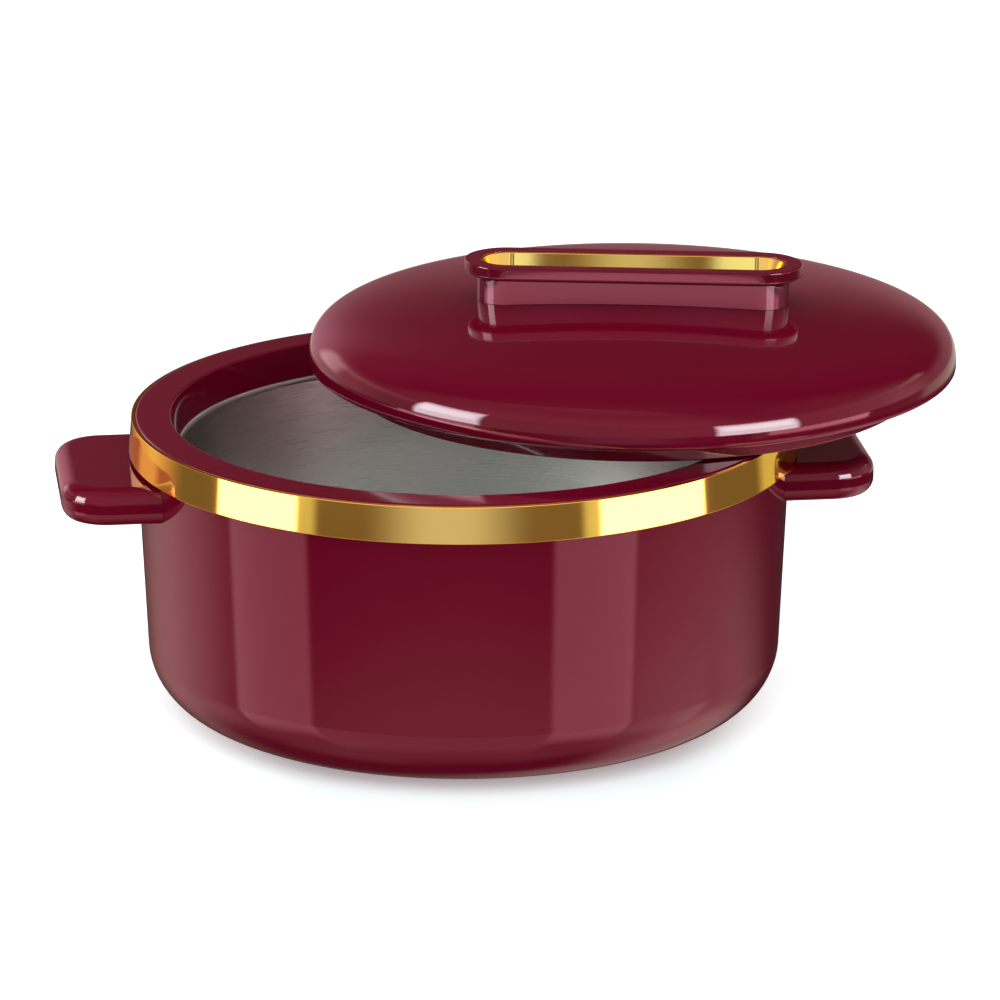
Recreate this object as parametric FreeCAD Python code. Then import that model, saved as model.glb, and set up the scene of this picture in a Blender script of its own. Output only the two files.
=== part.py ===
import FreeCAD, Part

# Insulated chapati casserole: a round double-walled pot with two side lugs, and its loose lid lying
# ajar across the rim. Millimetres. The origin is the centre of the pot's flat base, +Z is up and the
# two lugs lie along X. Every piece is its own solid and its own file in parts/.

import math
import os

V = FreeCAD.Vector

# ---- fits ----
FIT = 0.1                 # clearance between pieces that are fixed to each other
REST_GAP = 0.3            # clearance under the loose lid where it rests on the rim
OVER = 1.0                # how far a cutter runs past what it cuts

# ---- pot: outer body ----
POT_H = 107.6             # base to the top of the rim
BODY_R = 118.3            # outer wall just under the gold band
BODY_DRAFT = 2.55         # degrees, the wall narrows towards the base
BODY_T = 3.0              # wall and floor thickness
BASE_ROUND = 22.7         # outside radius between wall and base
SPIGOT_STEP = 1.5         # rebate that carries the collar
SPIGOT_HIDE = 2.0         # height of the rebate's shoulder above the band's lower edge

# ---- pot: gold band ----
BAND_H = 13.0
BAND_T = 1.3              # thickness at its top edge
BAND_FLARE = 1.0          # how much it stands out further at its lower edge
BAND_DROP = 0.4           # its top edge lies this far below the rim

# ---- pot: rim collar ----
SKIRT_PROUD = 0.3         # the skirt under the band stands this far out from the wall
RIM_FLAT = 12.8           # width of the flat rim
RIM_T = 2.6
RIM_ROUND = 0.8
COLLAR_DEPTH = 12.0       # inner wall, rim to bowl
COLLAR_LEAN = 2.8         # radius lost over that depth
COLLAR_T = 2.4

# ---- pot: steel bowl and its sealing ring ----
BOWL_T = 0.7
BOWL_STEP = 0.6           # the bowl's mouth stands in from the collar
BOWL_LEAN = 5.0           # radius lost from mouth to floor
BOWL_ROUND = 16.0         # inside radius between wall and floor
FOAM_UNDER = 9.3          # foam between the bowl's floor and the body's
BOWL_EDGE = 1.5           # rolled edge at the mouth
HOOK_H = 4.0              # upturned edge round the foot of the collar
SEAL_T = 0.6
SEAL_INSET = 0.4          # it stays this far back from the collar's inner face

# ---- pot: base plate ----
PLATE_R = 60.0
PLATE_T = 1.7
PLATE_LEDGE_W = 8.0       # the body's ledge that it bears on, outside its snap ring
PLATE_RING_T = 2.0
PLATE_RING_H = 2.8

# ---- pot: lugs ----
LUG_OUT = 28.7            # wall to tip
LUG_W = 76.0
LUG_DROP = 1.5            # its top lies this far below the band
LUG_H = 14.1
LUG_CORNER = 17.0         # corners seen from above
LUG_ROUND = 4.5           # rounded edges
LUG_T = 2.6
LUG_BACK_T = 3.0          # thickness against the pot's wall
LUG_SCREW_Y = 22.0
LUG_BOSS_R = 4.2
LUG_BOSS_L = 12.0
LUG_BOSS_END_T = 3.2      # solid end beyond the screw's tip

# ---- screws ----
SCREW_R = 1.5
SCREW_HEAD_R = 3.6
SCREW_HEAD_H = 2.2
SCREW_PAD_RIM = 2.4       # the flat pad under each head is this much wider than the head
SCREW_PAD_RISE = 0.6      # least height of a pad over the wall that it stands on

# ---- lid: shell (heights are measured from the plane of its largest radius) ----
LID_INSET = 1.5           # its largest radius lies this far inside the band's top edge
LID_SHOULDER_H = 16.2     # rounded shoulder
LID_SHOULDER_M = 12.0     # its superellipse powers, along the radius and along the height
LID_SHOULDER_N = 3.1
LID_CROWN_H = 6.9         # shallow crown on top of the shoulder
LID_T = 2.5
LIP_H = 2.0               # underside of the lip below the largest radius
LIP_ROUND = 5.0           # how far in the lip's lower rounding reaches
LIP_W = 6.5               # width of the inturned lip

# ---- lid: inner panel with its plug ring ----
PLUG_GAP = 0.6            # clearance to the collar when the lid is closed
PLUG_DEPTH = 7.3          # how far the ring enters the collar
PLUG_T = 2.0
PANEL_T = 2.0
PANEL_RECESS = 0.35       # the panel lies this far above the bottom of the ring
PANEL_SEAT_W = 2.0        # the panel's ledge reaches this far over the lip
PANEL_LEDGE_W = 4.4
PANEL_LEDGE_H = 1.5
FILL_R = 9.0              # filling hole of the lid and its plug
FILL_HEAD_RIM = 2.0       # the plug's head is this much wider
FILL_HEAD_T = 0.9

# ---- lid: handle ----
HANDLE_RISE = 13.7        # dome's top to the handle's top
FLANGE_L = 123.5
FLANGE_W = 32.0
FLANGE_T = 3.6
FLANGE_ROUND = 1.4
FLANGE_OVER = 4.5         # overhang round the pedestal
PEDESTAL_T = 2.3
INLAY_BORDER = 6.0        # plain border round the inlay
INLAY_T = 0.9
INLAY_DEPTH = 5.6         # top edge to the tray's floor
INLAY_DROP = 0.3          # its edge lies this far below the handle's top
DECK_T = 1.8              # under the tray
HANDLE_SCREW_U = 35.0
HANDLE_BOSS_R = 4.4

# ---- how the lid lies on the pot ----
LID_SHIFT = 71.0          # its axis from the pot's axis
LID_SHIFT_DIR = 22.5      # degrees from +X towards +Y
HANDLE_YAW = -10.3        # degrees, the handle's length from +X

CURVE_POINTS = 18


# ---- places worked out from the sizes ----
BAND_BOTTOM = POT_H - BAND_DROP - BAND_H
SHOULDER_Z = BAND_BOTTOM + SPIGOT_HIDE
SPIGOT_R = BODY_R - SPIGOT_STEP
SKIRT_IN_R = SPIGOT_R + FIT
SKIRT_R = BODY_R + SKIRT_PROUD
BAND_IN_R = SKIRT_R + FIT
BAND_R = BAND_IN_R + BAND_T
RIM_UNDER_Z = POT_H - RIM_T
MOUTH_R = SKIRT_R - RIM_FLAT
COLLAR_FOOT_Z = POT_H - COLLAR_DEPTH
COLLAR_FOOT_R = MOUTH_R - COLLAR_LEAN
BOWL_RIM_Z = COLLAR_FOOT_Z - SEAL_T
BOWL_MOUTH_R = COLLAR_FOOT_R - BOWL_STEP
BOWL_FLOOR_R = BOWL_MOUTH_R - BOWL_LEAN
BOWL_FLOOR_Z = BODY_T + FOAM_UNDER + BOWL_T
HOOK_TOP_Z = BOWL_RIM_Z + HOOK_H
PLATE_RING_R = PLATE_R - PLATE_LEDGE_W
SCREW_PAD_R = SCREW_HEAD_R + SCREW_PAD_RIM
LUG_REACH = BODY_R + LUG_OUT
LUG_TOP = BAND_BOTTOM - LUG_DROP
LUG_UNDER = LUG_TOP - LUG_H
LUG_MID_Z = LUG_TOP - LUG_H / 2
LID_R = BAND_R - LID_INSET
LIP_Z = -LIP_H
LIP_IN_R = LID_R - LIP_W
PLUG_R = MOUTH_R - COLLAR_LEAN * PLUG_DEPTH / COLLAR_DEPTH - PLUG_GAP
PLUG_IN_R = PLUG_R - PLUG_T
PLUG_Z = LIP_Z - PLUG_DEPTH
PANEL_LEDGE_R = LIP_IN_R + PANEL_SEAT_W
PANEL_LEDGE_IN_R = PANEL_LEDGE_R - PANEL_LEDGE_W
PANEL_UNDER_Z = PLUG_Z + PANEL_RECESS
PANEL_TOP_Z = PANEL_UNDER_Z + PANEL_T
FILL_HEAD_R = FILL_R + FILL_HEAD_RIM
HANDLE_TOP = LID_SHOULDER_H + LID_CROWN_H + HANDLE_RISE
PEDESTAL_L = FLANGE_L - 2 * FLANGE_OVER
PEDESTAL_W = FLANGE_W - 2 * FLANGE_OVER
INLAY_L = FLANGE_L - 2 * INLAY_BORDER
INLAY_W = FLANGE_W - 2 * INLAY_BORDER
FLANGE_UNDER = HANDLE_TOP - FLANGE_T
TRAY_TOP = HANDLE_TOP - INLAY_DROP
TRAY_FLOOR = TRAY_TOP - INLAY_DEPTH
RECESS_FLOOR = TRAY_FLOOR - INLAY_T - FIT
DECK_UNDER = RECESS_FLOOR - DECK_T


def wall_r(z):
    """Outer radius of the body's drafted wall at height z."""
    return BODY_R - math.tan(math.radians(BODY_DRAFT)) * (BAND_BOTTOM - z)


def collar_out_r(z):
    """Radius of the collar's hidden face at height z: its leaning inner face plus its thickness."""
    return MOUTH_R + COLLAR_T - COLLAR_LEAN * (POT_H - z) / COLLAR_DEPTH


# ---- helpers ----
def outline(corners):
    """Closed face in the XZ plane through (r, z, rounding radius) corners."""
    count = len(corners)
    places = [V(c[0], 0, c[1]) for c in corners]
    ends = []
    for i in range(count):
        here = places[i]
        radius = corners[i][2] if len(corners[i]) > 2 else 0
        if radius <= 0:
            ends.append((here, None, here))
            continue
        back = (places[i - 1] - here).normalize()
        ahead = (places[(i + 1) % count] - here).normalize()
        half = back.getAngle(ahead) / 2
        reach = radius / math.tan(half)
        middle = (back + ahead).normalize()
        arc_mid = here + middle * (radius / math.sin(half) - radius)
        ends.append((here + back * reach, arc_mid, here + ahead * reach))
    edges = []
    for i in range(count):
        start, arc_mid, finish = ends[i]
        if arc_mid is not None:
            edges.append(Part.Arc(start, arc_mid, finish).toShape())
        following = ends[(i + 1) % count][0]
        if finish.distanceToPoint(following) > 1e-6:
            edges.append(Part.LineSegment(finish, following).toShape())
    return Part.Face(Part.Wire(edges))


def turned(face):
    """Solid of revolution about Z."""
    return face.revolve(V(0, 0, 0), V(0, 0, 1), 360)


def ring(inner, outer, low, high):
    """Plain ring between two radii and two heights."""
    solid = Part.makeCylinder(outer, high - low, V(0, 0, low))
    if inner > 0:
        solid = solid.cut(Part.makeCylinder(inner, high - low, V(0, 0, low)))
    return solid


def stadium(length, width, low, high):
    """Upright block whose plan is a straight run along X with half-round ends."""
    half = width / 2
    run = length / 2 - half
    right = Part.Arc(V(run, -half, low), V(run + half, 0, low), V(run, half, low))
    left = Part.Arc(V(-run, half, low), V(-run - half, 0, low), V(-run, -half, low))
    back = Part.LineSegment(V(run, half, low), V(-run, half, low))
    front = Part.LineSegment(V(-run, -half, low), V(run, -half, low))
    edges = [shape.toShape() for shape in (right, back, left, front)]
    return Part.Face(Part.Wire(edges)).extrude(V(0, 0, high - low))


def level_edges(solid, height):
    """Edges of a solid that lie wholly at one height."""
    found = []
    for edge in solid.Edges:
        box = edge.BoundBox
        if abs(box.ZMin - height) < 1e-4 and abs(box.ZMax - height) < 1e-4:
            found.append(edge)
    return found


def screw(length):
    """Pan-head screw: the head's bearing face at z = 0, its shank along +Z."""
    shank = Part.makeCylinder(SCREW_R, length, V(0, 0, 0))
    head = Part.makeCylinder(SCREW_HEAD_R, SCREW_HEAD_H, V(0, 0, -SCREW_HEAD_H))
    head = head.makeFillet(SCREW_HEAD_H / 3, level_edges(head, -SCREW_HEAD_H))
    tip = Part.makeCone(SCREW_R, SCREW_R / 3, SCREW_R, V(0, 0, length))
    return head.fuse(shank).fuse(tip).removeSplitter()


def save(name, shape):
    """Write one node. A group of separate solids goes out as a compound."""
    solids = shape.Solids
    result = solids[0] if len(solids) == 1 else Part.makeCompound(solids)
    result.exportStep(os.path.join("parts", name + ".step"))


# ---- pot ----
def body_filled():
    """The body's outer form, filled in, with its rounded base and its rebate."""
    return turned(outline([
        (0, 0), (wall_r(0), 0, BASE_ROUND), (wall_r(SHOULDER_Z), SHOULDER_Z),
        (SPIGOT_R, SHOULDER_Z), (SPIGOT_R, RIM_UNDER_Z - FIT), (0, RIM_UNDER_Z - FIT)]))


def body_cavity():
    """The hollow of the outer body above its floor."""
    top = RIM_UNDER_Z
    return turned(outline([
        (0, BODY_T), (wall_r(BODY_T) - BODY_T, BODY_T, BASE_ROUND - BODY_T),
        (wall_r(SHOULDER_Z) - BODY_T, SHOULDER_Z), (wall_r(SHOULDER_Z) - BODY_T, top), (0, top)]))


def lug_screw_seat():
    """Distance from the axis at which the lug screws' heads bear on their flat pads."""
    inner = wall_r(LUG_MID_Z - SCREW_PAD_R) - BODY_T
    return math.sqrt(inner ** 2 - (LUG_SCREW_Y + SCREW_PAD_R) ** 2) - SCREW_PAD_RISE


def lug_places():
    """(side, y) of each lug screw."""
    return [(side, y) for side in (-1, 1) for y in (-LUG_SCREW_Y, LUG_SCREW_Y)]


def along_x(radius, start, stop, side, y, z):
    """Cylinder along X between two distances from the axis, on one side of the pot."""
    return Part.makeCylinder(radius, stop - start, V(side * start, y, z), V(side, 0, 0))


def outer_body():
    filled = body_filled()
    body = filled.cut(body_cavity())
    seat = lug_screw_seat()
    for side, y in lug_places():
        pad = along_x(SCREW_PAD_R, seat, BODY_R, side, y, LUG_MID_Z).common(filled)
        body = body.fuse(pad)
    for side, y in lug_places():
        body = body.cut(along_x(SCREW_R + FIT, seat - OVER, BODY_R + OVER, side, y, LUG_MID_Z))
    body = body.cut(ring(0, PLATE_R + FIT, -OVER, PLATE_T + FIT))
    return body.cut(ring(0, PLATE_RING_R + FIT, -OVER, BODY_T + OVER))


def base_plate():
    """Disc that closes the filling opening, with a snap ring on its inner side."""
    plate = ring(0, PLATE_R, 0, PLATE_T)
    snap = ring(PLATE_RING_R - PLATE_RING_T, PLATE_RING_R, PLATE_T, PLATE_T + PLATE_RING_H)
    return plate.fuse(snap).removeSplitter()


def rim_collar():
    """Flat rim with an outer skirt over the spigot and a leaning inner wall down to the bowl."""
    return turned(outline([
        (SKIRT_R, SHOULDER_Z + FIT), (SKIRT_R, POT_H, RIM_ROUND), (MOUTH_R, POT_H, RIM_ROUND),
        (COLLAR_FOOT_R, COLLAR_FOOT_Z), (collar_out_r(COLLAR_FOOT_Z), COLLAR_FOOT_Z),
        (collar_out_r(RIM_UNDER_Z), RIM_UNDER_Z), (SKIRT_IN_R, RIM_UNDER_Z),
        (SKIRT_IN_R, SHOULDER_Z + FIT)]))


def gold_band():
    """Band round the skirt, flaring a little towards its lower edge."""
    edge = BAND_T / 3
    return turned(outline([
        (BAND_IN_R, BAND_BOTTOM), (BAND_R + BAND_FLARE, BAND_BOTTOM, edge),
        (BAND_R, BAND_BOTTOM + BAND_H, edge), (BAND_IN_R, BAND_BOTTOM + BAND_H)]))


def hook_radii():
    """Inner and outer radius of the bowl's upturned edge, clear of the collar."""
    inner = collar_out_r(HOOK_TOP_Z) + FIT
    return inner, inner + BOWL_T


def inner_bowl():
    """Pressed bowl: floor, leaning wall, rolled mouth, flange under the collar and upturned edge."""
    hook_in, hook_out = hook_radii()
    under = BOWL_RIM_Z - BOWL_T
    return turned(outline([
        (0, BOWL_FLOOR_Z), (BOWL_FLOOR_R, BOWL_FLOOR_Z, BOWL_ROUND),
        (BOWL_MOUTH_R, BOWL_RIM_Z, BOWL_EDGE), (hook_in, BOWL_RIM_Z), (hook_in, HOOK_TOP_Z),
        (hook_out, HOOK_TOP_Z), (hook_out, under, BOWL_T),
        (BOWL_MOUTH_R + BOWL_T, under, BOWL_EDGE - BOWL_T),
        (BOWL_FLOOR_R + BOWL_T, BOWL_FLOOR_Z - BOWL_T, BOWL_ROUND + BOWL_T),
        (0, BOWL_FLOOR_Z - BOWL_T)]))


def bowl_seal():
    """Sealing ring between the foot of the collar and the bowl's flange."""
    outer = collar_out_r(COLLAR_FOOT_Z)
    return ring(COLLAR_FOOT_R + SEAL_INSET, outer, BOWL_RIM_Z, COLLAR_FOOT_Z)


def body_insulation():
    """Foam that fills the space between the outer body, the bowl and the collar."""
    hook_out = hook_radii()[1] + FIT
    top = RIM_UNDER_Z - FIT
    over_hook = HOOK_TOP_Z + FIT
    under = BOWL_RIM_Z - BOWL_T - FIT
    floor = BODY_T + FIT
    out_r = wall_r(SHOULDER_Z) - BODY_T - FIT
    skin = BOWL_T + FIT
    foam = turned(outline([
        (0, floor), (wall_r(floor) - BODY_T - FIT, floor, BASE_ROUND - BODY_T - FIT),
        (out_r, SHOULDER_Z), (out_r, top), (collar_out_r(top) + FIT, top),
        (collar_out_r(over_hook) + FIT, over_hook), (hook_out, over_hook), (hook_out, under),
        (BOWL_MOUTH_R + skin, under, BOWL_EDGE - skin),
        (BOWL_FLOOR_R + skin, BOWL_FLOOR_Z - skin, BOWL_ROUND + skin),
        (0, BOWL_FLOOR_Z - skin)]))
    foam = foam.fuse(ring(0, PLATE_RING_R, PLATE_T + FIT, floor + FIT))
    snap_in = PLATE_RING_R - PLATE_RING_T - FIT
    foam = foam.cut(ring(snap_in, PLATE_RING_R + FIT, 0, PLATE_T + PLATE_RING_H + FIT))
    start = lug_screw_seat() - SCREW_HEAD_H - FIT
    for side, y in lug_places():
        foam = foam.cut(along_x(SCREW_PAD_R + FIT, start, BODY_R, side, y, LUG_MID_Z))
    return foam


def lug_block(inset, low, high):
    """Lug form seen from above: a block out to the tip with two rounded corners."""
    reach = LUG_REACH - inset
    half = LUG_W / 2 - inset
    block = Part.makeBox(reach, 2 * half, high - low, V(0, -half, low))
    corners = []
    for edge in block.Edges:
        box = edge.BoundBox
        if box.XMin > reach - 1e-4 and box.ZLength > 1e-4:
            corners.append(edge)
    return block.makeFillet(LUG_CORNER - inset, corners)


def outer_edges(solid, height):
    """The level edges at one height, apart from the one across the pot's middle."""
    return [e for e in level_edges(solid, height) if e.BoundBox.XMax > 1e-4]


def lug_back():
    """Radius of the face of the lug's back wall, inside its hollow."""
    return wall_r(LUG_TOP) + LUG_BACK_T


def lug_boss_end():
    """How far the bosses reach from the pot's axis."""
    return wall_r(LUG_TOP) + LUG_BOSS_L


def lug_screw_length():
    """Bearing face to the start of the point, so that the boss stays closed."""
    return lug_boss_end() - LUG_BOSS_END_T - SCREW_R - lug_screw_seat()


def lug():
    """One lug on the +X side: hollow from below, with two screw bosses on its back wall."""
    block = lug_block(0, LUG_UNDER, LUG_TOP)
    edges = outer_edges(block, LUG_TOP) + outer_edges(block, LUG_UNDER)
    block = block.makeFillet(LUG_ROUND, edges)
    roof = LUG_TOP - LUG_T
    hollow = lug_block(LUG_T, LUG_UNDER - OVER, roof)
    hollow = hollow.makeFillet(max(LUG_ROUND - LUG_T, FIT), outer_edges(hollow, roof))
    hollow = hollow.cut(ring(0, lug_back(), LUG_UNDER - 2 * OVER, LUG_TOP))
    solid = block.cut(hollow)
    for y in (-LUG_SCREW_Y, LUG_SCREW_Y):
        boss = along_x(LUG_BOSS_R, lug_screw_seat(), lug_boss_end(), 1, y, LUG_MID_Z)
        solid = solid.fuse(boss.common(block))
    tip = lug_screw_seat() + lug_screw_length() + SCREW_R + FIT
    for y in (-LUG_SCREW_Y, LUG_SCREW_Y):
        solid = solid.cut(along_x(SCREW_R + FIT / 2, lug_screw_seat(), tip, 1, y, LUG_MID_Z))
    low = LUG_UNDER - OVER
    high = LUG_TOP + OVER
    pot = turned(outline([(0, low), (wall_r(low) + FIT, low), (wall_r(high) + FIT, high), (0, high)]))
    return solid.cut(pot).removeSplitter()


def lug_screws():
    seat = lug_screw_seat()
    made = []
    for side, y in lug_places():
        piece = screw(lug_screw_length())
        piece.rotate(V(0, 0, 0), V(0, 1, 0), 90 * side)
        piece.translate(V(side * seat, y, LUG_MID_Z))
        made.append(piece)
    return Part.makeCompound(made)


# ---- lid, built about its own axis ----
def dome_curve(inset):
    """Half outline of the dome, from its top to its largest radius. Its height is the crown's
    parabola plus the shoulder's superellipse: crown * (1 - s^2) + shoulder * (1 - s^m)^(1/n),
    where s is the radius over the largest radius."""
    radius = LID_R - inset
    points = []
    for i in range(CURVE_POINTS + 1):
        share = 1 - (1 - i / CURVE_POINTS) ** 2
        points.append(V(radius * share, 0, dome_rise(share, LID_SHOULDER_H - inset)))
    curve = Part.BSplineCurve()
    curve.interpolate(Points=points, InitialTangent=V(1, 0, 0), FinalTangent=V(0, 0, -1))
    return curve.toShape()


def dome_rise(share, shoulder):
    """Height of a dome with the given shoulder at a share of its largest radius."""
    rise = (1 - share ** LID_SHOULDER_M) ** (1 / LID_SHOULDER_N)
    return shoulder * rise + LID_CROWN_H * (1 - share ** 2)


def line(*places):
    """Straight edges through points in the XZ plane."""
    return [Part.LineSegment(V(*a), V(*b)).toShape() for a, b in zip(places, places[1:])]


def dome(inset):
    """Filled dome above the plane of the largest radius."""
    top = (0, 0, dome_rise(0, LID_SHOULDER_H - inset))
    side = (LID_R - inset, 0, 0)
    edges = [dome_curve(inset)] + line(side, (0, 0, 0), top)
    return turned(Part.Face(Part.Wire(edges)))


def handle_screw_seat():
    """Height at which the handle screws' heads bear on the pads inside the shell."""
    share = (HANDLE_SCREW_U + SCREW_PAD_R) / (LID_R - LID_T)
    return dome_rise(share, LID_SHOULDER_H - LID_T) - SCREW_PAD_RISE


def handle_turn(shape):
    """Turn a shape from the handle's own direction to the direction it has on the lid."""
    shape.rotate(V(0, 0, 0), V(0, 0, 1), HANDLE_YAW)
    return shape


def handle_screw_length():
    """Bearing face to the start of the point, which ends under the handle's deck."""
    return DECK_UNDER - SCREW_R - handle_screw_seat()


def upright(radius, low, high):
    """Upright cylinders at the two handle screws."""
    ends = (-HANDLE_SCREW_U, HANDLE_SCREW_U)
    made = [Part.makeCylinder(radius, high - low, V(u, 0, low)) for u in ends]
    return handle_turn(Part.makeCompound(made))


def lid_shell():
    """Domed shell with an inturned lip, and flat pads inside for the handle screws. The lip's lower
    rounding is a quarter ellipse from the shell's side to its underside."""
    under = (LID_R - LIP_ROUND, 0, LIP_Z)
    quarter = Part.Ellipse(V(LID_R, 0, 0), V(*under), V(LID_R - LIP_ROUND, 0, 0))
    outside = [dome_curve(0), Part.Arc(quarter, 0, math.pi / 2).toShape()]
    lip = line(under, (LIP_IN_R, 0, LIP_Z), (LIP_IN_R, 0, 0), (LID_R - LID_T, 0, 0))
    tops = [(0, 0, dome_rise(0, LID_SHOULDER_H - inset)) for inset in (LID_T, 0)]
    edges = outside + lip + [dome_curve(LID_T)] + line(*tops)
    solid = turned(Part.Face(Part.Wire(Part.__sortEdges__(edges))))
    seat = handle_screw_seat()
    solid = solid.fuse(upright(SCREW_PAD_R, seat, HANDLE_TOP).common(dome(0)))
    return solid.cut(upright(SCREW_R + FIT, seat - OVER, HANDLE_TOP))


def lid_inner_panel():
    """Panel with the plug ring below it and a ledge that sits on the shell's lip."""
    panel = turned(outline([
        (0, PANEL_UNDER_Z), (PLUG_IN_R, PANEL_UNDER_Z), (PLUG_IN_R, PLUG_Z),
        (PLUG_R, PLUG_Z, PLUG_T / 4), (PLUG_R, LIP_Z), (LIP_IN_R - FIT, LIP_Z),
        (LIP_IN_R - FIT, FIT), (PANEL_LEDGE_R, FIT), (PANEL_LEDGE_R, PANEL_LEDGE_H),
        (PANEL_LEDGE_IN_R, PANEL_LEDGE_H), (PANEL_LEDGE_IN_R, LIP_Z + PANEL_T),
        (PLUG_IN_R, LIP_Z + PANEL_T),
        (PLUG_IN_R, PANEL_TOP_Z), (0, PANEL_TOP_Z)]))
    low = PANEL_UNDER_Z - OVER
    panel = panel.cut(ring(0, FILL_R + FIT, low, PANEL_TOP_Z + OVER))
    return panel.cut(ring(0, FILL_HEAD_R + FIT, low, PANEL_UNDER_Z + FILL_HEAD_T + FIT))


def lid_fill_plug():
    """Mushroom plug, flush with the panel's underside."""
    head = ring(0, FILL_HEAD_R, PANEL_UNDER_Z, PANEL_UNDER_Z + FILL_HEAD_T)
    stem = ring(0, FILL_R, PANEL_UNDER_Z + FILL_HEAD_T, PANEL_TOP_Z)
    return head.fuse(stem).removeSplitter()


def lid_insulation():
    """Foam that fills the lid between the shell and the panel."""
    core_r = PLUG_IN_R - FIT
    base = LIP_Z + PANEL_T + FIT
    foam = dome(LID_T + FIT).fuse(ring(0, core_r, PANEL_TOP_Z + FIT, PANEL_LEDGE_H))
    foam = foam.cut(ring(core_r, LID_R, LIP_Z, base))
    foam = foam.cut(ring(PANEL_LEDGE_IN_R - FIT, LID_R, LIP_Z, PANEL_LEDGE_H + FIT))
    seat = handle_screw_seat()
    return foam.cut(upright(SCREW_PAD_R + FIT, seat - SCREW_HEAD_H - FIT, HANDLE_TOP))


def lid_handle():
    """Stadium flange on a narrower pedestal that stands on the dome: a recess for the inlay on top,
    hollow below the deck, with two screw bosses."""
    flange = stadium(FLANGE_L, FLANGE_W, FLANGE_UNDER, HANDLE_TOP)
    edges = level_edges(flange, HANDLE_TOP) + level_edges(flange, FLANGE_UNDER)
    flange = flange.makeFillet(FLANGE_ROUND, edges)
    pedestal = stadium(PEDESTAL_L, PEDESTAL_W, 0, HANDLE_TOP - FLANGE_T / 2)
    handle = flange.fuse(pedestal)
    spare = 2 * FIT
    recess = stadium(INLAY_L + spare, INLAY_W + spare, RECESS_FLOOR, HANDLE_TOP + OVER)
    inside = 2 * PEDESTAL_T
    hollow = stadium(PEDESTAL_L - inside, PEDESTAL_W - inside, -OVER, DECK_UNDER)
    under = dome(-FIT)
    handle = handle_turn(handle.cut(recess).cut(hollow)).cut(under)
    bosses = upright(HANDLE_BOSS_R, 0, DECK_UNDER + DECK_T / 2).cut(under)
    holes = upright(SCREW_R + FIT / 2, -OVER, DECK_UNDER + FIT)
    return handle.fuse(bosses).cut(holes).removeSplitter()


def handle_inlay():
    """Shallow tray with a thin wall, sunk into the handle's top."""
    floor_under = TRAY_FLOOR - INLAY_T
    tray = stadium(INLAY_L, INLAY_W, floor_under, TRAY_TOP)
    inside = 2 * INLAY_T
    tray = tray.cut(stadium(INLAY_L - inside, INLAY_W - inside, TRAY_FLOOR, TRAY_TOP + OVER))
    return handle_turn(tray)


def lid_handle_screws():
    made = []
    for u in (-HANDLE_SCREW_U, HANDLE_SCREW_U):
        piece = screw(handle_screw_length())
        piece.translate(V(u, 0, handle_screw_seat()))
        made.append(piece)
    return handle_turn(Part.makeCompound(made))


def lid_pose():
    """Where the loose lid lies. Its plug ring crosses the rim at two points, and from there the lid
    leans over until its recessed panel meets the far edge of the rim."""
    rim_edge = SKIRT_R - RIM_ROUND / 2
    crossing = (LID_SHIFT ** 2 + rim_edge ** 2 - PLUG_R ** 2) / (2 * LID_SHIFT)
    lean = math.atan(PANEL_RECESS / (rim_edge - crossing))
    pivot = LID_SHIFT - crossing
    rise = POT_H + REST_GAP - PLUG_Z * math.cos(lean) - pivot * math.sin(lean)
    turn = math.radians(LID_SHIFT_DIR)
    towards = V(math.cos(turn), math.sin(turn), 0)
    across = V(-math.sin(turn), math.cos(turn), 0)
    place = towards * LID_SHIFT + V(0, 0, rise)
    return FreeCAD.Placement(place, FreeCAD.Rotation(across, math.degrees(lean)))


def on_pot(shape):
    """Lay a piece of the lid on the pot."""
    placed = shape.copy()
    placed.Placement = lid_pose().multiply(placed.Placement)
    return placed


def main():
    os.makedirs("parts", exist_ok=True)
    right = lug()
    left = right.copy()
    left.rotate(V(0, 0, 0), V(0, 0, 1), 180)
    pot = {
        "outer_body": outer_body(), "base_plate": base_plate(), "rim_collar": rim_collar(),
        "gold_band": gold_band(), "inner_bowl": inner_bowl(), "bowl_seal": bowl_seal(),
        "body_insulation": body_insulation(), "right_lug": right, "left_lug": left,
        "lug_screws": lug_screws()}
    lid = {
        "lid_shell": lid_shell(), "lid_inner_panel": lid_inner_panel(),
        "lid_fill_plug": lid_fill_plug(), "lid_insulation": lid_insulation(),
        "lid_handle": lid_handle(), "handle_inlay": handle_inlay(),
        "lid_handle_screws": lid_handle_screws()}
    for name, shape in pot.items():
        save(name, shape)
    for name, shape in lid.items():
        save(name, on_pot(shape))


main()
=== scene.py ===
"""Insulated casserole: a glossy double-walled pot with a gold band, and its loose domed lid ajar on the rim.

Sizes are written in millimetres, as a moulder would write them, and every mesh is in metres. The pot's axis is Z,
its base is at z = 0 and its lugs lie along X. The lid's own sizes count from the plane of its largest radius.
"""

import math

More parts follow.
